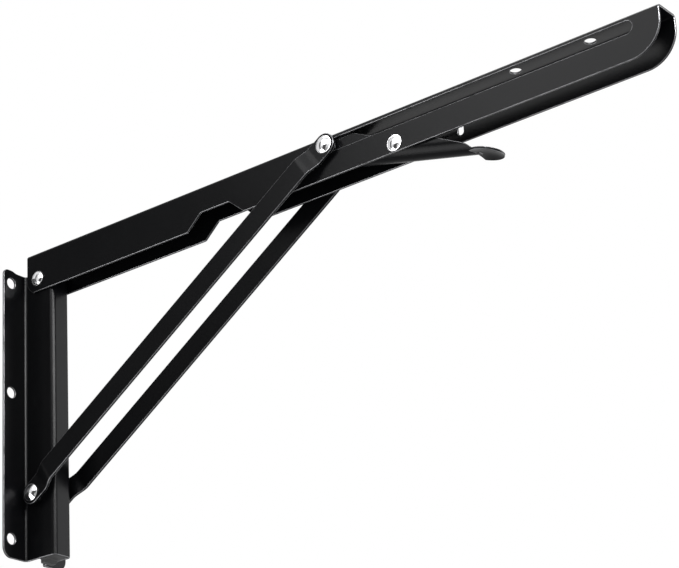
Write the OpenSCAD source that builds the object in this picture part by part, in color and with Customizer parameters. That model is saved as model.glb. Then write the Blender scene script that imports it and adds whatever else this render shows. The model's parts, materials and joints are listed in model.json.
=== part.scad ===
/* [Wall plate] */
// Height of the wall plate
plate_h = 202.5; // [195:0.5:240]
// Width over both wall flanges
plate_w = 57; // [54:1:70]
// Sheet thickness of the wall plate
plate_t = 1.5; // [1.2:0.1:2]
// Outer width of the plate's raised channel
channel_w = 16; // [14:0.5:20]
// How far the raised channel stands off the wall
channel_depth = 27; // [25:0.5:32]
// Inside radius of the plate's bends
plate_bend_r = 1.8; // [1:0.1:2.5]
// Corner radius of the flanges at the bottom
flange_corner_r = 7; // [3:0.5:10]
// How far the flange ears rise above the channel
ear_rise = 1.2; // [0.5:0.1:3]
// From the centre plane to the foot of each ear's slope
ear_in = 15.7; // [12:0.1:17]
// Length of that slope
ear_run = 5.8; // [4:0.1:7]

/* [Wall screw holes] */
// Diameter of the wall screw holes
wall_hole_d = 7.5; // [5:0.1:8]
// Distance between the two columns of holes
wall_hole_dy = 43; // [38:0.5:46]
// Distance between the top and the bottom holes
wall_hole_dz = 180; // [170:1:182]
// Height of the middle holes above the pattern's centre
wall_hole_mid = 11; // [-20:1:20]
// From the top holes to the top of the flange
top_margin = 9.5; // [8.5:0.5:12]

/* [Arm] */
// Length of the arm
arm_len = 500; // [490:5:700]
// Height of the arm's side walls
arm_h = 28.7; // [28:0.1:32]
// Sheet thickness of the arm
arm_t = 1.5; // [1.2:0.1:1.8]
// Inside radius of the arm's bends
arm_bend_r = 0.9; // [0.5:0.1:1]
// Radius of the arm's lower corner at the tip
tip_r = 21; // [12:1:26]
// Radius of the arm's rounded end about its pivot
heel_r = 10.3; // [9.5:0.1:12]
// From the top holes of the plate to the top of the arm
arm_above_holes = 22.5; // [20:0.5:30]

/* [Slot and notch] */
// Height of the slots that the brace pins slide in
slot_h = 8.4; // [8.2:0.1:9]
// From the top of the arm to the slot's centre line
slot_drop = 7.5; // [6.8:0.1:8]
// From the slots' round end to the arm's tip
slot_to_tip = 18; // [16:1:40]
// Height of the notch that clears the brace pivot
notch_h = 10.5; // [10.3:0.1:12]
// Length of the notch's flat top
notch_top = 23.7; // [22:0.1:30]
// Length of each slanted side of the notch
notch_ramp = 12; // [8:0.5:16]

/* [Shelf screw holes] */
// Diameter of the shelf screw holes
shelf_hole_d = 7; // [5:0.1:8]
// Distance between the two holes of a pair
shelf_hole_pitch = 52; // [30:1:60]
// From the arm's tip to the outer pair's last hole
shelf_hole_tip = 51; // [40:1:80]
// From the wall to the inner pair's first hole
shelf_hole_wall = 50; // [40:1:70]

/* [Pivots] */
// From the wall to the arm's pivot
arm_pivot_x = 15; // [13.5:0.1:16]
// From the top of the arm down to its pivot
arm_pivot_drop = 19.4; // [18.8:0.1:20]
// From the wall to the braces' pivot
brace_pivot_x = 11.8; // [10.5:0.1:12.4]
// From the top of the arm down to the braces' pivot
brace_pivot_drop = 172; // [165:1:180]
// From the wall to the braces' sliding pins
slide_x = 267; // [262:1:275]
// From the wall to the release lever's pivot
lever_pivot_x = 317.5; // [315:0.5:330]
// From the top of the arm down to the release lever's pivot
lever_pivot_drop = 22.7; // [22.2:0.1:23.2]

/* [Rivets] */
// Diameter of the rivets' shanks
rivet_d = 6; // [5:0.1:6]
// Diameter of the small rivet heads
small_head_d = 10.4; // [9:0.1:11]
// Height of the small rivet heads
small_head_h = 1.6; // [1.2:0.1:1.7]
// Diameter of the large rivet heads
large_head_d = 11.6; // [10:0.1:13]
// Height of the large rivet heads
large_head_h = 2.1; // [1.5:0.1:2.5]
// Outer diameter of the spacers round the rivets
spacer_d = 8; // [7.6:0.1:8]

/* [Braces] */
// Width of the brace strips
brace_w = 15; // [12:0.5:15.5]
// Sheet thickness of the brace strips
brace_t = 2; // [1.5:0.1:2.5]
// How far the strips step outward between their ends
brace_step = 3.6; // [3:0.1:5]
// Length of each step
step_len = 12; // [8:0.5:16]
// Flat length from a hole's centre to the step
end_flat = 9; // [8:0.5:12]

/* [Sliding bushes] */
// Diameter of the collar between arm and brace
collar_d = 12; // [10.5:0.1:13]
// Thickness of that collar
collar_t = 1.6; // [1.2:0.1:1.7]

/* [Release lever] */
// Sheet thickness of the lever
lever_t = 1.5; // [1.2:0.1:1.8]
// Downward slope of the lever's trough
lever_slope = 14; // [13:0.5:15]
// From the lever's pivot down to the bottom of the trough
trough_drop = 9.2; // [9:0.1:10]
// Length of the slanted nose that the brace pin rides over
nose_ramp = 15.5; // [12:0.5:16]
// Flat length on top of the nose
nose_top = 14.6; // [10:0.2:15]
// Gap between the nose and the top of the slot
nose_gap = 0.8; // [0.6:0.1:1]
// From the lever's pivot to the middle of the thumb pad
pad_reach = 59.3; // [57.5:0.1:62]
// From the lever's pivot down to the middle of the thumb pad
pad_drop = 21.8; // [21.2:0.1:22.4]
// Diameter of the thumb pad
pad_d = 22; // [18:0.5:28]
// Radius of the thumb pad's hollow
pad_dish_r = 40; // [28:1:60]
// From the lever's pivot to the end of the trough's sides
trough_reach = 53; // [51:0.5:54]
// Height of the trough's rim where it runs on as the pad's neck
neck_h = 2; // [1.6:0.1:3]

/* [Lever spring] */
// Diameter of the spring wire
wire_d = 1.2; // [0.8:0.1:1.3]
// Radius of the coil to the wire's centre
coil_r = 5.4; // [5.2:0.1:5.6]
// Pitch of the coil
coil_pitch = 1.4; // [1.35:0.05:1.5]
// Full turns of the coil
coil_turns = 5; // [3:1:5]
// Width of the spring's anchor slot in the far wall
anchor_d = 4.2; // [3:0.1:5]
// Length of the anchor slot between the centres of its round ends
anchor_len = 2.6; // [1.5:0.1:4]
// From the lever's pivot out to the anchor slot
anchor_reach = 36.6; // [32:0.1:40]
// Height of the slot's lower round end above the lever's pivot
anchor_rise = 1.2; // [0.5:0.1:2]

/* [End block] */
// Length of the end block along the channel
block_len = 20; // [12:1:40]
// How far the end block sticks out below the channel
block_out = 2.6; // [1:0.1:6]
// Depth of the end block from the wall outward
block_depth = 13.7; // [8:0.1:14]
// Width of the block's foot, which stands below the channel
foot_w = 10.2; // [6:0.1:11]
// Depth of the foot's underside
foot_depth = 3.5; // [2:0.1:5]
// Length of the slope in front of it
foot_slope = 2; // [1:0.1:3]

/* [Fits] */
// Side clearance between moving sheets
side_gap = 0.3; // [0.2:0.05:0.4]
// Clearance under a rivet head
head_gap = 0.15; // [0.1:0.05:0.2]
// Radial clearance of a rivet in its holes
fit_gap = 0.05; // [0.02:0.01:0.1]

/* [Hidden] */
$fn = 64;
black = "#26272b";
bright = "#c9cacd";
steel = "#8d9094";
nylon = "#1b1b1d";

// Heights, counted from the centre of the wall hole pattern
arm_top = wall_hole_dz / 2 + arm_above_holes;
plate_top = wall_hole_dz / 2 + top_margin;
plate_bottom = plate_top - plate_h;
channel_top = plate_top - ear_rise;
arm_bottom = arm_top - arm_h;
slot_z = arm_top - slot_drop;
arm_pivot_z = arm_top - arm_pivot_drop;
brace_pivot_z = arm_top - brace_pivot_drop;
lever_pivot_z = arm_top - lever_pivot_drop;

// Distances from the centre plane out to each layer
channel_out = channel_w / 2;
channel_in = channel_out - plate_t;
wall_in = channel_out + side_gap;
wall_out = wall_in + arm_t;
collar_in = wall_out + side_gap * 0.7;
collar_out = collar_in + collar_t;
end_in = wall_out + small_head_h + head_gap + side_gap;
end_out = end_in + brace_t;
lever_out = wall_in - side_gap;
lever_in = lever_out - lever_t;

arm_start = arm_pivot_x - heel_r;
arm_end = arm_start + arm_len;
slot_end = arm_end - slot_to_tip - slot_h / 2;
pin_r = slot_h / 2 - 0.2;
hole_r = rivet_d / 2 + fit_gap;

// Where the braces' pivot comes to lie along the folded arm
pivot_span = norm([arm_pivot_x - brace_pivot_x, brace_pivot_drop - arm_pivot_drop]);
notch_mid = arm_pivot_x + pivot_span + spacer_d / 2 + 2;

brace_len = norm([slide_x - brace_pivot_x, brace_pivot_drop - slot_drop]);
brace_angle = atan2(brace_pivot_drop - slot_drop, slide_x - brace_pivot_x);

// Places side profiles, drawn as x and z, across the part from y0 to y1
module across(y0, y1) {
    translate([0, y1, 0]) rotate([90, 0, 0]) linear_extrude(y1 - y0) children();
}

module stadium(length, r) {
    circle(r);
    translate([length, 0]) circle(r);
    translate([0, -r]) square([length, 2 * r]);
}

// A quarter of a bent sheet round the origin, between the directions a and a + 90
module bend(r, t, a) {
    rotate(a) intersection() {
        difference() {
            circle(r + t);
            circle(r);
        }
        square(r + t + 1);
    }
}

module tube(d, bore_r, y0, y1) {
    across(y0, y1) difference() {
        circle(d = d);
        circle(bore_r);
    }
}

// Half profile of a domed head standing on z = 0
module head_profile(d, h) {
    r = (pow(d / 2, 2) + h * h) / (2 * h);
    rim = 0.35;
    square([d / 2, rim]);
    intersection() {
        translate([0, h - r]) circle(r, $fn = 180);
        square([d / 2, h]);
    }
}

// A domed head on the outer side of the plane y, with side = 1 or -1
module head(d, h, y, side) {
    translate([0, side * y, 0]) rotate([-90 * side, 0, 0]) rotate_extrude() head_profile(d, h);
}

module rivet(d, h, y) {
    tube(rivet_d, 0, -y - 0.01, y + 0.01);
    head(d, h, y, 1);
    head(d, h, y, -1);
}

module at(x, z) {
    translate([x, 0, z]) children();
}

// Half of the plate's hat section, as x and y
module hat_half() {
    b = plate_bend_r;
    t = plate_t;
    translate([0, channel_out + b]) square([t, plate_w / 2 - channel_out - b]);
    translate([t + b, channel_out + b]) bend(b, t, 180);
    translate([t + b, channel_in]) square([channel_depth - t - 2 * b - t, t]);
    translate([channel_depth - t - b, channel_in - b]) bend(b, t, 0);
    translate([channel_depth - t, 0]) square([t, channel_in - b]);
}

module wall_plate() {
    c = flange_corner_r;
    w = plate_w / 2;
    color(black) difference() {
        translate([0, 0, plate_bottom]) linear_extrude(plate_h) {
            hat_half();
            mirror([0, 1]) hat_half();
        }
        // The channel stops below the ears, which slope down to it
        translate([-1, 0, channel_top]) rotate([90, 0, 90]) linear_extrude(channel_depth + 2) polygon(concat(
            [for (i = [0:8]) [-ear_in - ear_run * (1 - i / 8), ear_rise * smooth(1 - i / 8)]],
            [for (i = [0:8]) [ear_in + ear_run * i / 8, ear_rise * smooth(i / 8)]],
            [[ear_in + ear_run, 20], [-ear_in - ear_run, 20]]
        ));
        for (s = [-1, 1]) {
            // Rounded flange corners
            for (e = [[plate_bottom, 1, c], [plate_top, -1, c * 0.6]])
                translate([-1, s * (w - e[2]), e[0] + e[1] * e[2]]) rotate([90, 0, 90]) linear_extrude(plate_t + 2)
                    difference() {
                        scale([s, -e[1]]) square(e[2] + 1);
                        circle(e[2]);
                    }
            for (z = [-wall_hole_dz / 2, wall_hole_mid, wall_hole_dz / 2])
                translate([-1, s * wall_hole_dy / 2, z]) rotate([0, 90, 0]) cylinder(d = wall_hole_d, h = plate_t + 2);
        }
        at(arm_pivot_x, arm_pivot_z) tube(2 * hole_r, 0, -w, w);
        at(brace_pivot_x, brace_pivot_z) tube(2 * hole_r, 0, -w, w);
        // The web is cut back round the arm's heel
        translate([channel_depth - plate_t - plate_bend_r, -channel_in, channel_top - 6])
            cube([plate_t + plate_bend_r + 1, 2 * channel_in, 10]);
    }
}

module channel_end_block() {
    x1 = channel_depth - plate_t - side_gap;
    x0 = x1 - block_depth;
    y = channel_in - side_gap;
    z0 = plate_bottom - block_out;
    z1 = z0 + block_len;
    q = plate_bend_r;
    x2 = x0 + foot_depth + foot_slope;
    color(nylon) {
        // Its outer corners are rounded to clear the channel's bends
        translate([0, 0, plate_bottom]) linear_extrude(z1 - plate_bottom) {
            translate([x0, -y]) square([block_depth - q, 2 * y]);
            translate([x0, q - y]) square([block_depth, 2 * (y - q)]);
            for (s = [-1, 1]) translate([x1 - q, s * (y - q)]) circle(q);
        }
        across(-foot_w / 2, foot_w / 2) polygon([
            [x0, plate_bottom + 1], [x0, z0], [x0 + foot_depth, z0], [x2, plate_bottom], [x2, plate_bottom + 1],
        ]);
    }
}

module arm_section() {
    b = arm_bend_r;
    t = arm_t;
    for (s = [-1, 1]) scale([s, 1]) {
        translate([wall_in, -arm_h]) square([t, arm_h - b - t]);
        translate([wall_in - b, -b - t]) bend(b, t, 0);
        translate([0, -t]) square([wall_in - b, t]);
    }
}

module arm_side() {
    heel = arm_top - arm_pivot_z;
    n = notch_mid - notch_top / 2;
    difference() {
        union() {
            translate([arm_start, arm_pivot_z]) square([arm_len - tip_r, heel]);
            translate([arm_pivot_x, arm_pivot_z]) circle(heel_r);
            translate([arm_pivot_x, arm_bottom]) square([arm_end - tip_r - arm_pivot_x, arm_h]);
            translate([arm_end - tip_r, arm_bottom + tip_r]) circle(tip_r);
            translate([arm_start + heel_r, arm_bottom + tip_r])
                square([arm_len - heel_r, arm_h - tip_r]);
        }
        translate([arm_start - 1, arm_bottom - 20]) square([arm_len, 20]);
        polygon([
            [n - notch_ramp, arm_bottom - 0.01], [n, arm_bottom + notch_h],
            [n + notch_top, arm_bottom + notch_h], [n + notch_top + notch_ramp, arm_bottom - 0.01],
        ]);
        translate([slide_x, slot_z]) stadium(slot_end - slide_x, slot_h / 2);
        for (p = [[arm_pivot_x, arm_pivot_z], [lever_pivot_x, lever_pivot_z]])
            translate(p) circle(hole_r);
    }
}

module arm_channel() {
    y = wall_out + 1;
    hole_x = [
        shelf_hole_wall, shelf_hole_wall + shelf_hole_pitch,
        arm_end - shelf_hole_tip - shelf_hole_pitch, arm_end - shelf_hole_tip,
    ];
    color(black) difference() {
        intersection() {
            translate([0, 0, arm_top]) rotate([90, 0, 90]) linear_extrude(arm_end + 1) arm_section();
            across(-y, y) arm_side();
        }
        for (x = hole_x) translate([x, 0, arm_top - arm_t - 1]) cylinder(d = shelf_hole_d, h = arm_t + 2);
        at(lever_pivot_x + anchor_reach, lever_pivot_z + anchor_rise)
            across(0, y) rotate(90) stadium(anchor_len, anchor_d / 2);
    }
}

module arm_pivot_rivet() {
    color(bright) at(arm_pivot_x, arm_pivot_z) rivet(small_head_d, small_head_h, wall_out + head_gap);
}

module arm_pivot_spacer() {
    color(steel) at(arm_pivot_x, arm_pivot_z) tube(spacer_d, hole_r, -channel_in, channel_in);
}

module brace_pivot_rivet() {
    color(bright) at(brace_pivot_x, brace_pivot_z) rivet(large_head_d, large_head_h, end_out + head_gap);
}

module brace_pivot_spacer() {
    color(steel) at(brace_pivot_x, brace_pivot_z) tube(spacer_d, hole_r, -channel_in, channel_in);
}

module pivot_collar(side) {
    y0 = channel_out;
    y1 = end_in - side_gap * 0.7;
    color(steel) at(brace_pivot_x, brace_pivot_z)
        tube(spacer_d, hole_r, side > 0 ? y0 : -y1, side > 0 ? y1 : -y0);
}

module near_pivot_collar() {
    pivot_collar(-1);
}

module far_pivot_collar() {
    pivot_collar(1);
}

// How far out a strip's inner face lies at the distance s from its first hole
function smooth(u) = u * u * (3 - 2 * u);
function rise(s) = smooth(min(1, max(0, (s - end_flat) / step_len)));
function strip_y(s) = end_in + brace_step * min(rise(s), rise(brace_len - s));
step_at = [for (i = [0:8]) end_flat + step_len * i / 8];
strip_s = concat([-brace_w], step_at, [for (i = [8:-1:0]) brace_len - step_at[i]], [brace_len + brace_w]);

module brace_strip() {
    inner = [for (s = strip_s) [s, strip_y(s)]];
    outer = [for (i = [len(strip_s) - 1:-1:0]) [strip_s[i], strip_y(strip_s[i]) + brace_t]];
    at(brace_pivot_x, brace_pivot_z) rotate([0, -brace_angle, 0]) intersection() {
        translate([0, 0, -brace_w]) linear_extrude(2 * brace_w) polygon(concat(inner, outer));
        across(0, 30) difference() {
            stadium(brace_len, brace_w / 2);
            circle(hole_r);
            translate([brace_len, 0]) circle(rivet_d / 2);
        }
    }
}

module near_brace() {
    color(black) mirror([0, 1, 0]) brace_strip();
}

module far_brace() {
    color(black) brace_strip();
}

// The riveted end of the sliding pin, outside the arm's wall
module brace_stud() {
    at(slide_x, slot_z) {
        tube(rivet_d, 0, end_in, end_out + 0.01);
        head(large_head_d, large_head_h, end_out, 1);
    }
}

module near_brace_stud() {
    color(bright) mirror([0, 1, 0]) brace_stud();
}

module far_brace_stud() {
    color(bright) brace_stud();
}

// The part of the sliding pin that runs in the arm's slot, with its collar
module slide_bush() {
    at(slide_x, slot_z) {
        tube(2 * pin_r, 0, lever_out + 0.2, collar_in + 0.01);
        tube(collar_d, 0, collar_in, collar_out);
    }
}

module near_slide_bush() {
    color(steel) mirror([0, 1, 0]) slide_bush();
}

module far_slide_bush() {
    color(steel) slide_bush();
}

nose_x = slide_x + pin_r + 0.4 - lever_pivot_x;
nose_z = lever_pivot_drop - slot_drop + slot_h / 2 - nose_gap;
slot_low = lever_pivot_drop - slot_drop - slot_h / 2;
neck_end = trough_reach + 2;
function trough_z(x) = -trough_drop - x * tan(lever_slope);

// Side outline of the lever's trough, with its pivot at the origin
module lever_side() {
    polygon([
        [nose_x, nose_z], [nose_x + nose_top, nose_z], [nose_x + nose_top + nose_ramp, slot_low],
        [-5, 7.6], [8, 6.8], [26, -4.3], [trough_reach - 4, trough_z(trough_reach - 4) + 5],
        [trough_reach, trough_z(trough_reach) + neck_h], [neck_end, trough_z(neck_end) + neck_h],
        [neck_end, -40], [nose_x, -40],
    ]);
}

// The trough lies along its slope, with the pivot above its bottom, and runs on as the pad's neck
module release_lever() {
    color(black) at(lever_pivot_x, lever_pivot_z) {
        difference() {
            intersection() {
                rotate([0, lever_slope, 0]) translate([-70, 0, -trough_drop * cos(lever_slope)])
                    rotate([90, 0, 90]) linear_extrude(140) trough_section();
                across(-20, 20) lever_side();
            }
            tube(2 * hole_r, 0, -20, 20);
        }
        thumb_pad();
    }
}

module trough_section() {
    r = lever_out;
    difference() {
        union() {
            translate([0, r]) circle(r);
            translate([-r, r]) square([2 * r, 40]);
        }
        translate([0, r]) circle(lever_in);
        translate([-lever_in, r]) square([2 * lever_in, 41]);
    }
}

// A round dish on the trough's slope, cut off at the trough's end, with its hollow side down
module thumb_pad() {
    intersection() {
        at(pad_reach, -pad_drop) rotate([0, lever_slope, 0]) intersection() {
            translate([0, 0, -pad_dish_r]) difference() {
                sphere(pad_dish_r, $fn = 180);
                sphere(pad_dish_r - lever_t, $fn = 180);
            }
            translate([0, 0, -10]) cylinder(d = pad_d, h = 20);
        }
        translate([trough_reach - 1, -pad_d, -60]) cube([60, 2 * pad_d, 60]);
    }
}

module lever_pivot_rivet() {
    color(bright) at(lever_pivot_x, lever_pivot_z) rivet(small_head_d, small_head_h, wall_out);
}

module lever_pivot_spacer() {
    // The round trough narrows towards its bottom, so the spacer ends where its own underside still clears it
    below = lever_out - (trough_drop * cos(lever_slope) - spacer_d / 2);
    y = sqrt(lever_in * lever_in - below * below) - side_gap;
    color(steel) at(lever_pivot_x, lever_pivot_z) tube(spacer_d, hole_r, -y, y);
}

// Lever spring: a foot on the trough, the coil round the pivot, and a leg hooked in the far wall
foot = [26, -12.3];
hook = [anchor_reach, anchor_rise + anchor_len + anchor_d / 2 - wire_d / 2 - side_gap];
function bearing(p) = atan2(p[1], p[0]);
function tangent_len(p) = sqrt(p * p - coil_r * coil_r);
foot_dir = bearing(foot) + asin(coil_r / norm(foot));
hook_dir = bearing(hook) - asin(coil_r / norm(hook));
coil_from = foot_dir - 90;
coil_to = hook_dir + 90 - 360 * coil_turns;
coil_steps = 18 * coil_turns;
coil_y0 = -coil_pitch * (coil_from - coil_to) / 720;
function coil_point(u) = let (a = coil_from + (coil_to - coil_from) * u)
    [coil_r * cos(a), coil_y0 * (1 - 2 * u), coil_r * sin(a)];
wire_path = concat(
    [[foot[0], coil_y0, foot[1]]],
    [for (i = [0:coil_steps]) coil_point(i / coil_steps)],
    [[hook[0], -coil_y0, hook[1]]]
);

// A round wire swept along points that stay nearly square to the y axis
module wire(path, r, sides = 8) {
    n = len(path);
    ring = [for (i = [0:n - 1])
        let (a = path[max(0, i - 1)], b = path[min(n - 1, i + 1)], d = b - a, e = [-d[2], 0, d[0]] / norm([d[0], d[2]]))
        for (k = [0:sides - 1]) path[i] + r * (cos(360 * k / sides) * e + sin(360 * k / sides) * [0, 1, 0])];
    faces = concat(
        [[for (k = [sides - 1:-1:0]) k]],
        [[for (k = [0:sides - 1]) (n - 1) * sides + k]],
        [for (i = [0:n - 2]) for (k = [0:sides - 1])
            [i * sides + k, i * sides + (k + 1) % sides, (i + 1) * sides + (k + 1) % sides, (i + 1) * sides + k]]
    );
    polyhedron(ring, faces);
}

module lever_spring() {
    color(steel) at(lever_pivot_x, lever_pivot_z) {
        wire(wire_path, wire_d / 2);
        // The leg is a touch thicker than the wire, so that the wire's end lies wholly inside it
        at(hook[0], hook[1]) tube(wire_d + 0.1, 0, -coil_y0 - wire_d / 2 - 0.1, wall_out);
    }
}

wall_plate();
channel_end_block();
arm_channel();
arm_pivot_rivet();
arm_pivot_spacer();
brace_pivot_rivet();
brace_pivot_spacer();
near_pivot_collar();
far_pivot_collar();
near_brace();
far_brace();
near_brace_stud();
far_brace_stud();
near_slide_bush();
far_slide_bush();
release_lever();
lever_pivot_rivet();
lever_pivot_spacer();
lever_spring();
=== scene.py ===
import json
import math

import bmesh
import bpy
from mathutils import Matrix, Vector


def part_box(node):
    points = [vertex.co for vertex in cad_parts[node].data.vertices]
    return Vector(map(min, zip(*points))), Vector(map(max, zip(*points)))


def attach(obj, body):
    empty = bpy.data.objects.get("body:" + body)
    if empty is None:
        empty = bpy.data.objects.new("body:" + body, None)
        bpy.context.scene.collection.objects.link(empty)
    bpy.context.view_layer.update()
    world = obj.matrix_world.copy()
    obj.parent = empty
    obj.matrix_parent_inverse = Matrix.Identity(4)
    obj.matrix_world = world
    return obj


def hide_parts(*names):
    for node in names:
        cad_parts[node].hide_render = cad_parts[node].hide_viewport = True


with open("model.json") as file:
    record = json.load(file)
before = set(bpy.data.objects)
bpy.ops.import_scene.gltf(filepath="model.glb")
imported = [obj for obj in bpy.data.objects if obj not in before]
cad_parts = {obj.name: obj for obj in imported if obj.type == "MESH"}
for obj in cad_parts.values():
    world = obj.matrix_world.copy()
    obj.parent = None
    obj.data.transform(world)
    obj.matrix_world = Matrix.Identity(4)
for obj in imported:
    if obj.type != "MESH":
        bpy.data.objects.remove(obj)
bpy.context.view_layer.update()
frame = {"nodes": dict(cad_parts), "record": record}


def inputOf(node, name):
    return next(s for s in node.inputs if s.name == name and s.enabled)


def addNode(tree, kind, links=None, **settings):
    node = tree.nodes.new(kind)
    for key, value in settings.items():
        setattr(node, key, value)
    for name, value in (links or {}).items():
        socket = node.inputs[name] if isinstance(name, int) else inputOf(node, name)
        if isinstance(value, bpy.types.NodeSocket):
            tree.links.new(value, socket)
        else:
            socket.default_value = value
    return node


def calc(tree, operation, *values):
    return addNode(tree, "ShaderNodeMath", dict(enumerate(values)), operation=operation).outputs[0]


def newGroup(name, inputs, outputs, kind="ShaderNodeTree"):
    tree = bpy.data.node_groups.new(name, kind)
    for label, socketType, value in inputs:
        socket = tree.interface.new_socket(label, in_out="INPUT", socket_type=socketType)
        if value is not None:
            socket.default_value = value
    for label, socketType in outputs:
        tree.interface.new_socket(label, in_out="OUTPUT", socket_type=socketType)
    return tree, tree.nodes.new("NodeGroupInput"), tree.nodes.new("NodeGroupOutput")


def shaderOf(material):
    material.use_nodes = True
    return next(n for n in material.node_tree.nodes if n.type == "BSDF_PRINCIPLED")


def inScene(newObject):
    bpy.context.scene.collection.objects.link(newObject)
    return newObject


def plainMesh(modified):
    return bpy.data.meshes.new_from_object(modified.evaluated_get(bpy.context.evaluated_depsgraph_get()))


# Fine grain gives the bump its height; a broad mottle shifts the roughness and mixes the two tones
grain = {"fineDetail": 3.0, "broadDetail": 4.0, "mottleMiddle": 0.5, "bumpDistance": 0.0002}


def makeGrain():
    floats = "NodeSocketFloat"
    tree, given, result = newGroup("surfaceGrain", [
        ("Fine Scale", floats, 900.0), ("Broad Scale", floats, 45.0),
        ("Roughness", floats, 0.4), ("Spread", floats, 0.08),
    ], [("Height", floats), ("Roughness", floats), ("Mottle", floats)])
    place = addNode(tree, "ShaderNodeTexCoord").outputs["Object"]
    fine = addNode(tree, "ShaderNodeTexNoise", {
        "Vector": place, "Scale": given.outputs["Fine Scale"], "Detail": grain["fineDetail"]})
    broad = addNode(tree, "ShaderNodeTexNoise", {
        "Vector": place, "Scale": given.outputs["Broad Scale"], "Detail": grain["broadDetail"]})
    centred = calc(tree, "SUBTRACT", broad.outputs[0], grain["mottleMiddle"])
    shift = calc(tree, "MULTIPLY", centred, given.outputs["Spread"])
    rough = calc(tree, "ADD", shift, given.outputs["Roughness"])
    tree.links.new(fine.outputs[0], result.inputs["Height"])
    tree.links.new(rough, result.inputs["Roughness"])
    tree.links.new(broad.outputs[0], result.inputs["Mottle"])
    return tree


# Where handling has rubbed the edges, and where a painted highlight runs along them: the piece's own edge
# mask, broken up by noise
edgeWearHighlight = {"scale": 160.0, "detail": 5.0, "bareFrom": 0.1, "bareTo": 0.45}


def makeEdgeWearHighlight():
    floats = "NodeSocketFloat"
    tree, given, result = newGroup(
        "edgeWearAndHighlight", [("Scale", floats, edgeWearHighlight["scale"]), ("Amount", floats, 0.5)], [("Mask", floats)]
    )
    place = addNode(tree, "ShaderNodeTexCoord").outputs["Object"]
    edge = addNode(tree, "ShaderNodeAttribute", attribute_name="edgeMask")
    noise = addNode(tree, "ShaderNodeTexNoise", {
        "Vector": place, "Scale": given.outputs["Scale"], "Detail": edgeWearHighlight["detail"]})
    patchy = addNode(tree, "ShaderNodeMapRange", {
        "Value": noise.outputs[0], "From Min": edgeWearHighlight["bareFrom"], "From Max": edgeWearHighlight["bareTo"]})
    # The mask that lays the light worn colour along the edges, which is a painted highlight as well as wear
    wornHighlight = calc(tree, "MULTIPLY", edge.outputs["Fac"], patchy.outputs[0])
    tree.links.new(calc(tree, "MULTIPLY", wornHighlight, given.outputs["Amount"]), result.inputs["Mask"])
    return tree


grainGroup = makeGrain()
edgeWearHighlightGroup = makeEdgeWearHighlight()


def blendColours(tree, mask, first, second):
    mix = addNode(tree, "ShaderNodeMix", data_type="RGBA")
    tree.links.new(mask, mix.inputs[0])
    for socket, colour in ((mix.inputs[6], first), (mix.inputs[7], second)):
        if isinstance(colour, bpy.types.NodeSocket):
            tree.links.new(colour, socket)
        else:
            socket.default_value = (*colour, 1)
    return mix.outputs[2]


def makeFinish(name, look):
    material = bpy.data.materials.new(name)
    shader = shaderOf(material)
    tree = material.node_tree
    grained = addNode(tree, "ShaderNodeGroup", node_tree=grainGroup)
    for key in ("Fine Scale", "Broad Scale", "Roughness", "Spread"):
        grained.inputs[key].default_value = look[key]
    colour = blendColours(tree, grained.outputs["Mottle"], look["dark"], look["light"])
    shader.inputs["Metallic"].default_value = look["metal"]
    if "edgeWearHighlight" in look:
        # Edge wear in a light colour, which also paints a highlight along every rolled edge
        wearHighlightNode = addNode(tree, "ShaderNodeGroup", node_tree=edgeWearHighlightGroup)
        wearHighlightNode.inputs["Amount"].default_value = look["edgeWearHighlight"]
        colour = blendColours(tree, wearHighlightNode.outputs["Mask"], colour, look["wornHighlight"])
    if "bare" in look:
        tree.links.new(calc(tree, "MULTIPLY", wearHighlightNode.outputs["Mask"], look["bare"]), shader.inputs["Metallic"])
    bump = addNode(tree, "ShaderNodeBump", {
        "Height": grained.outputs["Height"], "Strength": look["bump"], "Distance": grain["bumpDistance"]})
    tree.links.new(colour, shader.inputs["Base Color"])
    tree.links.new(grained.outputs["Roughness"], shader.inputs["Roughness"])
    tree.links.new(bump.outputs[0], shader.inputs["Normal"])
    shader.inputs["Specular IOR Level"].default_value = look["gloss"]
    return material


# The edge amount is how far the edges wear and take the light worn colour, a painted highlight along them as
# well as wear; bare is how much of the steel shows there
finishes = {
    "black_paint": makeFinish("satinBlackPaint", {
        "Fine Scale": 1500.0, "Broad Scale": 30.0, "Roughness": 0.30, "Spread": 0.06, "bump": 0.16,
        "dark": (0.0034, 0.0036, 0.0044), "light": (0.0052, 0.0054, 0.0064), "metal": 0.0, "gloss": 0.055,
        # The light worn colour paints a highlight along the edges as well as showing wear
        "wornHighlight": (0.26, 0.26, 0.27), "edgeWearHighlight": 0.62, "bare": 0.7}),
    "bright_rivet": makeFinish("brightRivetSteel", {
        "Fine Scale": 700.0, "Broad Scale": 160.0, "Roughness": 0.12, "Spread": 0.10, "bump": 0.03,
        "dark": (0.60, 0.60, 0.61), "light": (0.78, 0.78, 0.79), "metal": 1.0, "gloss": 0.5}),
    "plain_steel": makeFinish("drawnSteel", {
        "Fine Scale": 1200.0, "Broad Scale": 110.0, "Roughness": 0.36, "Spread": 0.12, "bump": 0.10,
        "dark": (0.36, 0.37, 0.39), "light": (0.50, 0.51, 0.53), "metal": 1.0, "gloss": 0.5}),
    "black_nylon": makeFinish("mouldedBlackNylon", {
        "Fine Scale": 1900.0, "Broad Scale": 70.0, "Roughness": 0.55, "Spread": 0.12, "bump": 0.12,
        "dark": (0.0070, 0.0070, 0.0075), "light": (0.0120, 0.0120, 0.0125), "metal": 0.0, "gloss": 0.35,
        "wornHighlight": (0.03, 0.03, 0.03), "edgeWearHighlight": 0.2}),
}
print("finishes made")

slotOf = {s["node"]: s["material_slot"] for s in frame["record"]["subparts"]}
bodyOf = {n: b for b, nodes in frame["record"]["behaviour"]["bodies"].items() for n in nodes}

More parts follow.
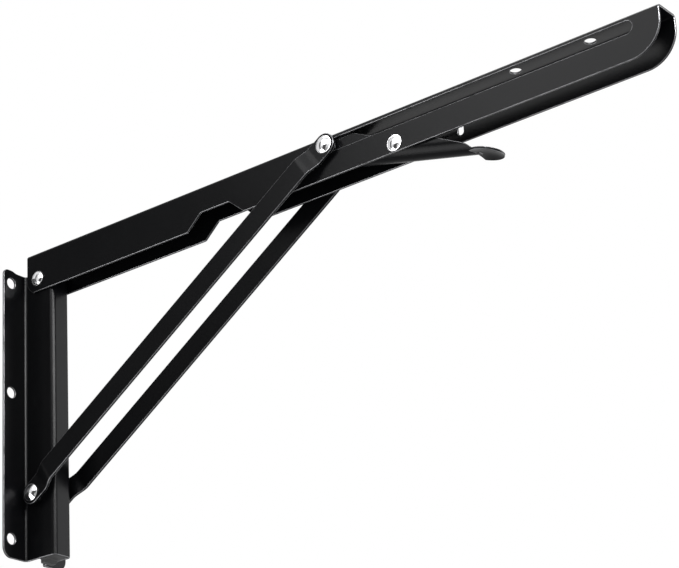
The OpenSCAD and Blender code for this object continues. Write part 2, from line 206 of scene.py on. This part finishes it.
for nodeName, nodeObject in frame["nodes"].items():
    for materialSlot in nodeObject.material_slots:
        materialSlot.material = finishes[slotOf[nodeName]]

# The rolled edge that stamping and paint leave on each sheet, in metres and degrees
sheetEdge = {
    "width": 0.00036, "segments": 3, "profile": 0.5, "merge": 0.000002,
    "sharpAngle": 28, "flatAngle": 0.5, "cuspAngle": 20, "creaseAngle": 50, "evenWeight": 100,
}
leverEdge = {**sheetEdge, "width": 0.00026, "merge": 0.0002}


# Edges that leave a corner almost side by side, where a rolled edge would shoot out as a spike
def cuspEdges(edges, limit):
    found = set()
    for edge in edges:
        for corner in edge.verts:
            along = edge.other_vert(corner).co - corner.co
            for other in corner.link_edges:
                if other is not edge and other in edges:
                    if along.angle(other.other_vert(corner).co - corner.co, math.pi) < limit:
                        found.add(edge)
    return found


def softened(nodeName, pieceName, edge):
    source = frame["nodes"][nodeName]
    work = bmesh.new()
    work.from_mesh(source.data)
    work.transform(source.matrix_world)
    bmesh.ops.remove_doubles(work, verts=work.verts, dist=edge["merge"])
    flat = math.radians(edge["flatAngle"])
    bmesh.ops.dissolve_limit(work, angle_limit=flat, verts=work.verts, edges=work.edges)
    mask = work.faces.layers.float.new("edgeMask")  # first, because a new layer drops what refers to faces
    limit = math.radians(edge["sharpAngle"])
    sharp = {e for e in work.edges if len(e.link_faces) == 2 and e.calc_face_angle(0.0) > limit}
    cusps = cuspEdges(sharp, math.radians(edge["cuspAngle"]))
    rolled = bmesh.ops.bevel(
        work, geom=[e for e in work.edges if e in sharp and e not in cusps], affect="EDGES",
        offset=edge["width"], segments=edge["segments"], profile=edge["profile"],
    )
    for face in rolled["faces"]:
        face[mask] = 1.0
    for face in work.faces:
        face.smooth = True
    mesh = bpy.data.meshes.new(pieceName)
    work.to_mesh(mesh)
    work.free()
    mesh.set_sharp_from_angle(angle=math.radians(edge["creaseAngle"]))
    mesh.materials.append(finishes[slotOf[nodeName]])
    piece = inScene(bpy.data.objects.new(pieceName, mesh))
    evened = piece.modifiers.new("evenFaces", "WEIGHTED_NORMAL")
    evened.keep_sharp = True
    evened.weight = edge["evenWeight"]
    evenMesh = plainMesh(piece)
    piece.modifiers.clear()
    piece.data = evenMesh
    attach(piece, bodyOf[nodeName])
    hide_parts(nodeName)
    print(f"{pieceName}: {len(evenMesh.polygons)} faces, {len(cusps)} cusped edges left unrolled")


for nodeName, pieceName, edge in (
    ("wall_plate", "wallPlateSheet", sheetEdge), ("arm_channel", "armSheet", sheetEdge),
    ("near_brace", "nearBraceStrip", sheetEdge), ("far_brace", "farBraceStrip", sheetEdge),
    ("release_lever", "leverSheet", leverEdge), ("channel_end_block", "endBlock", sheetEdge),
):
    softened(nodeName, pieceName, edge)
print("sheets softened")


def named(tree, name, dataType):
    node = addNode(tree, "GeometryNodeInputNamedAttribute", {"Name": name}, data_type=dataType)
    return next(s for s in node.outputs if s.enabled and s.name == "Attribute")


def roundBar(tree, path, diameter, sides):
    line = addNode(tree, "GeometryNodeMeshToCurve", {"Mesh": path})
    ring = addNode(tree, "GeometryNodeCurvePrimitiveCircle", {
        "Resolution": sides, "Radius": calc(tree, "MULTIPLY", diameter, 0.5)}, mode="RADIUS")
    return addNode(tree, "GeometryNodeCurveToMesh", {
        "Curve": line.outputs[0], "Profile Curve": ring.outputs[0], "Fill Caps": True})


def endTree(tree, shape, finish, outlet):
    real = addNode(tree, "GeometryNodeRealizeInstances", {"Geometry": shape.outputs[0]})
    finished = addNode(tree, "GeometryNodeSetMaterial", {"Geometry": real.outputs[0], "Material": finish})
    tree.links.new(finished.outputs[0], outlet)


# Sizes in metres, with the heads as on the solids
rivet = {"headSides": 72, "headRings": 16, "shankSides": 48, "rim": 0.00035, "shank": 0.006}
rivetSets = {
    "armPivotRivet": {"nodes": ["arm_pivot_rivet"], "diameter": 0.0104, "height": 0.0016},
    "bracePivotRivet": {"nodes": ["brace_pivot_rivet"], "diameter": 0.0116, "height": 0.0021},
    "leverPivotRivet": {"nodes": ["lever_pivot_rivet"], "diameter": 0.0104, "height": 0.0016},
    "braceStuds": {"nodes": ["near_brace_stud", "far_brace_stud"], "diameter": 0.0116, "height": 0.0021},
}


# Rivets along straight axes: a domed head on each vertex marked headed, and a round shank between
def makeRivetTree():
    floats = "NodeSocketFloat"
    tree, given, result = newGroup("rivetSet", [
        ("Axes", "NodeSocketGeometry", None), ("Head Diameter", floats, 0.01), ("Head Height", floats, 0.0016),
        ("Rim", floats, rivet["rim"]), ("Shank Diameter", floats, rivet["shank"]),
        ("Finish", "NodeSocketMaterial", None),
    ], [("Rivets", "NodeSocketGeometry")], "GeometryNodeTree")
    half = calc(tree, "MULTIPLY", given.outputs["Head Diameter"], 0.5)
    height = given.outputs["Head Height"]
    squares = calc(tree, "ADD", calc(tree, "MULTIPLY", half, half), calc(tree, "MULTIPLY", height, height))
    domeRadius = calc(tree, "DIVIDE", squares, calc(tree, "MULTIPLY", height, 2.0))
    blank = addNode(tree, "GeometryNodeMeshCylinder", {
        "Vertices": rivet["headSides"], "Fill Segments": rivet["headRings"],
        "Radius": half, "Depth": given.outputs["Rim"]})
    place = addNode(tree, "ShaderNodeSeparateXYZ", {0: addNode(tree, "GeometryNodeInputPosition").outputs[0]})
    x, y, z = place.outputs
    offAxis = calc(tree, "ADD", calc(tree, "MULTIPLY", x, x), calc(tree, "MULTIPLY", y, y))
    left = calc(tree, "SUBTRACT", calc(tree, "MULTIPLY", domeRadius, domeRadius), offAxis)
    dome = calc(tree, "SUBTRACT", calc(tree, "SQRT", left), calc(tree, "SUBTRACT", domeRadius, height))
    crown = calc(tree, "MAXIMUM", dome, given.outputs["Rim"])
    raised = addNode(tree, "ShaderNodeCombineXYZ", {
        0: x, 1: y, 2: calc(tree, "MULTIPLY", crown, calc(tree, "GREATER_THAN", z, 0.0))})
    head = addNode(tree, "GeometryNodeSetPosition", {
        "Geometry": blank.outputs["Mesh"], "Position": raised.outputs[0]})
    facing = addNode(tree, "FunctionNodeAlignRotationToVector", {
        "Vector": named(tree, "outward", "FLOAT_VECTOR")}, axis="Z")
    heads = addNode(tree, "GeometryNodeInstanceOnPoints", {
        "Points": given.outputs["Axes"], "Selection": named(tree, "headed", "BOOLEAN"),
        "Instance": head.outputs[0], "Rotation": facing.outputs[0]})
    shank = roundBar(tree, given.outputs["Axes"], given.outputs["Shank Diameter"], rivet["shankSides"])
    both = addNode(tree, "GeometryNodeJoinGeometry")
    tree.links.new(heads.outputs[0], both.inputs[0])
    tree.links.new(shank.outputs[0], both.inputs[0])
    endTree(tree, both, given.outputs["Finish"], result.inputs["Rivets"])
    return tree


# The lever's spring in metres, with x and z counted from the lever's pivot
spring = {
    "wire": 0.0012, "wireSides": 16, "coilRadius": 0.0054, "pitch": 0.0014, "turns": 5, "stepsPerTurn": 40,
    "foot": (0.026, -0.0123), "hook": (0.0366, 0.0050), "legEnd": 0.0098,
    "cornerRadius": 0.0012, "cornerSteps": 6, "overlap": 6,
}


# Round wire along a path of points
def makeWireTree():
    tree, given, result = newGroup("springWire", [
        ("Path", "NodeSocketGeometry", None), ("Wire Diameter", "NodeSocketFloat", spring["wire"]),
        ("Finish", "NodeSocketMaterial", None),
    ], [("Wire", "NodeSocketGeometry")], "GeometryNodeTree")
    wire = roundBar(tree, given.outputs["Path"], given.outputs["Wire Diameter"], spring["wireSides"])
    endTree(tree, wire, given.outputs["Finish"], result.inputs["Wire"])
    return tree


grownCrease = 30  # degrees, past which a grown piece keeps a sharp edge


def grown(pieceName, base, tree, values, nodeNames, body):
    carrier = inScene(bpy.data.objects.new(pieceName + "Base", base))
    modifier = carrier.modifiers.new("grown", "NODES")
    modifier.node_group = tree
    for item in tree.interface.items_tree:
        if item.item_type == "SOCKET" and item.in_out == "INPUT" and item.name in values:
            modifier[item.identifier] = values[item.name]
    mesh = plainMesh(carrier)
    bpy.data.objects.remove(carrier)
    mesh.name = pieceName
    for face in mesh.polygons:
        face.use_smooth = True
    mesh.set_sharp_from_angle(angle=math.radians(grownCrease))
    piece = inScene(bpy.data.objects.new(pieceName, mesh))
    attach(piece, body)
    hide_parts(*nodeNames)
    print(f"{pieceName}: {len(mesh.polygons)} faces")


# Each rivet's axis runs between its head seats; a stud has one head, on the side away from the centre plane
def rivetAxes(name, nodeNames, headHeight):
    points, edges, headed, outward = [], [], [], []
    for nodeName in nodeNames:
        low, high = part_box(nodeName)
        x, z = (low[0] + high[0]) / 2, (low[2] + high[2]) / 2
        hasFar, hasNear = high[1] > 0, low[1] < 0
        farSeat = high[1] - (headHeight if hasFar else 0)
        nearSeat = low[1] + (headHeight if hasNear else 0)
        edges.append((len(points), len(points) + 1))
        points += [(x, nearSeat, z), (x, farSeat, z)]
        headed += [hasNear, hasFar]
        outward += [(0, -1, 0), (0, 1, 0)]
    mesh = bpy.data.meshes.new(name)
    mesh.from_pydata(points, edges, [])
    marks = mesh.attributes.new("headed", "BOOLEAN", "POINT")
    marks.data.foreach_set("value", headed)
    sides = mesh.attributes.new("outward", "FLOAT_VECTOR", "POINT")
    sides.data.foreach_set("vector", [c for v in outward for c in v])
    return mesh


rivetTree = makeRivetTree()
for pieceName, rivets in rivetSets.items():
    axes = rivetAxes(pieceName + "Axes", rivets["nodes"], rivets["height"])
    grown(pieceName, axes, rivetTree, {
        "Head Diameter": rivets["diameter"], "Head Height": rivets["height"],
        "Finish": finishes["bright_rivet"]}, rivets["nodes"], bodyOf[rivets["nodes"][0]])
print("rivets made")


def springPath(pivotX, pivotZ):
    radius = spring["coilRadius"]
    foot, hook = spring["foot"], spring["hook"]
    leave = math.atan2(foot[1], foot[0]) + math.asin(radius / math.hypot(*foot)) - math.pi / 2
    arrive = math.atan2(hook[1], hook[0]) - math.asin(radius / math.hypot(*hook)) + math.pi / 2
    arrive -= 2 * math.pi * spring["turns"]
    start = -spring["pitch"] * (leave - arrive) / (4 * math.pi)
    steps = spring["stepsPerTurn"] * spring["turns"]
    points = [(foot[0], start, foot[1])]
    for i in range(steps + 1):
        angle = leave + (arrive - leave) * i / steps
        points.append((radius * math.cos(angle), start * (1 - 2 * i / steps), radius * math.sin(angle)))
    # The wire turns a rounded corner into the leg that ends in the far wall
    last = Vector(points[-1])
    corner = Vector((hook[0], -start, hook[1]))
    along = (corner - last).normalized()
    bend = spring["cornerRadius"]
    for i in range(spring["cornerSteps"] + 1):
        turn = math.pi / 2 * i / spring["cornerSteps"]
        aside = Vector((0, bend * (1 - math.cos(turn)), 0))
        points.append(tuple(corner - along * bend * (1 - math.sin(turn)) + aside))
    points.append((hook[0], spring["legEnd"], hook[1]))
    return [(x + pivotX, y, z + pivotZ) for x, y, z in points]


pivotLow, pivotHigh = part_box("lever_pivot_rivet")
springPoints = springPath((pivotLow[0] + pivotHigh[0]) / 2, (pivotLow[2] + pivotHigh[2]) / 2)
wireTree = makeWireTree()
# The foot leg turns with the lever. It runs a short way along the coil, so that the two stay joined
for pieceName, path, body in (
    ("springFoot", springPoints[:spring["overlap"]], "lever"), ("springCoil", springPoints[1:], "arm"),
):
    springBase = bpy.data.meshes.new(pieceName + "Path")
    springBase.from_pydata(path, [(i, i + 1) for i in range(len(path) - 1)], [])
    grown(pieceName, springBase, wireTree, {
        "Wire Diameter": spring["wire"], "Finish": finishes["plain_steel"]}, ["lever_spring"], body)
print("spring made")

# The camera as fitted to the photograph: angles in degrees, place in metres, sensor in millimetres
shot = {
    "azimuth": 36.49, "elevation": -22.78, "roll": -3.57, "place": (1.00881, -1.00909, -0.51055),
    "focalPixels": 2231.7, "pixelsWide": 679, "sensorWidth": 36,
}


def makeCamera():
    azimuth, elevation, roll = (math.radians(shot[k]) for k in ("azimuth", "elevation", "roll"))
    level = math.cos(elevation)
    back = Vector((math.sin(azimuth) * level, -math.cos(azimuth) * level, math.sin(elevation)))
    right = Vector((math.cos(azimuth), math.sin(azimuth), 0))
    up = back.cross(right)
    turnedRight = math.cos(roll) * right + math.sin(roll) * up
    turnedUp = -math.sin(roll) * right + math.cos(roll) * up
    data = bpy.data.cameras.new("shotCamera")
    data.sensor_width = shot["sensorWidth"]
    data.lens = data.sensor_width * shot["focalPixels"] / shot["pixelsWide"]
    camera = inScene(bpy.data.objects.new("shotCamera", data))
    axes = Matrix((turnedRight, turnedUp, back)).transposed().to_4x4()
    camera.matrix_world = Matrix.Translation(shot["place"]) @ axes
    bpy.context.scene.camera = camera


# Soft boxes, each where one set of faces mirrors it to the camera: size in metres, power in watts.
# Those marked sheen only show in reflections, so matt colours get no light from them
lamps = {
    "topBox": {
        "place": (0.2, 0.1, 1.5), "aim": (0.2, 0, 0), "size": (1.2, 1.2), "power": 22, "sheen": False},
    "frontBox": {
        "place": (1.02, 1.0, 0.28), "aim": (0.05, 0, 0), "size": (0.8, 0.9), "power": 10, "sheen": False},
    "padBox": {
        "place": (0.08, 0.74, -0.52), "aim": (0.38, 0, 0.08), "size": (0.6, 0.6), "power": 3, "sheen": False},
    "tipBox": {
        "place": (0.24, -0.67, 0.5), "aim": (0.45, 0, 0.1), "size": (0.72, 0.5), "power": 9, "sheen": True},
    "bendStrip": {
        "place": (0.99, -0.49, 0.47), "aim": (0.03, 0, 0), "size": (1.0, 0.16), "power": 45, "sheen": True},
    "edgeStrip": {
        "place": (-0.32, -0.6, -0.45), "aim": (0.3, 0, 0.08), "size": (0.6, 0.9), "power": 13, "sheen": True},
}


def turnedTo(place, aim):
    return (Vector(aim) - Vector(place)).to_track_quat("-Z", "Y")


def makeLamps():
    for name, lamp in lamps.items():
        data = bpy.data.lights.new(name, "AREA")
        data.shape = "RECTANGLE"
        data.size, data.size_y = lamp["size"]
        data.energy = lamp["power"]
        light = inScene(bpy.data.objects.new(name, data))
        light.location = lamp["place"]
        light.rotation_euler = turnedTo(lamp["place"], lamp["aim"]).to_euler()
        light.visible_diffuse = not lamp["sheen"]


mattRoughness = 0.9
squareCorners = ((-1, -1), (1, -1), (1, 1), (-1, 1))


def mattPaint(name, colour):
    material = bpy.data.materials.new(name)
    shader = shaderOf(material)
    shader.inputs["Base Color"].default_value = (*colour, 1)
    shader.inputs["Roughness"].default_value = mattRoughness
    return material


def stageSheet(name, corners, paint):
    mesh = bpy.data.meshes.new(name)
    mesh.from_pydata(corners, [], [(0, 1, 2, 3)])
    mesh.materials.append(paint)
    sheet = inScene(bpy.data.objects.new(name, mesh))
    return sheet


# The world is white where it is seen or mirrored, and gives the plain ambient light elsewhere
room = {"floorHeight": -1.3, "floorSize": 12.0, "floorColour": (0.86, 0.86, 0.86), "ambient": 0.55}


def makeRoom():
    world = bpy.data.worlds.new("whiteRoom")
    world.use_nodes = True
    tree = world.node_tree
    sky = next(n for n in tree.nodes if n.type == "BACKGROUND")
    paths = addNode(tree, "ShaderNodeLightPath")
    seen = calc(tree, "MAXIMUM", paths.outputs["Is Camera Ray"], paths.outputs["Is Transmission Ray"])
    shown = calc(tree, "MAXIMUM", seen, paths.outputs["Is Glossy Ray"])
    level = addNode(tree, "ShaderNodeMapRange", {"Value": shown, "To Min": room["ambient"], "To Max": 1.0})
    sky.inputs["Color"].default_value = (1, 1, 1, 1)
    tree.links.new(level.outputs[0], sky.inputs["Strength"])
    bpy.context.scene.world = world
    half = room["floorSize"] / 2
    corners = [(x * half, y * half, room["floorHeight"]) for x, y in squareCorners]
    stageSheet("studioFloor", corners, mattPaint("studioFloorPaint", room["floorColour"]))


# Dark boards beside the camera, which the rivets' domes and the faces near the wall mirror. Roll in degrees
boardColour = (0.02, 0.02, 0.02)
boards = {
    "wallBoard": {"place": (-0.82, -0.8, 0.45), "aim": (0.02, 0, 0), "size": (0.3, 1.1), "roll": 0},
    "streakBoard": {"place": (0.05, -0.95, 0.05), "aim": (0.25, 0, 0.05), "size": (0.5, 1.7), "roll": -35},
}


def makeBoards():
    cloth = mattPaint("boardCloth", boardColour)
    for name, board in boards.items():
        width, height = board["size"]
        facing = turnedTo(board["place"], board["aim"]).to_matrix().to_4x4()
        turn = facing @ Matrix.Rotation(math.radians(board["roll"]), 4, "Z")
        corners = [
            Matrix.Translation(board["place"]) @ turn @ Vector((x * width / 2, y * height / 2, 0))
            for x, y in squareCorners
        ]
        stageSheet(name, corners, cloth).visible_camera = False


makeCamera()
makeLamps()
makeRoom()
makeBoards()
bpy.context.scene.view_settings.view_transform = "Standard"
print("camera, lamps and room set")
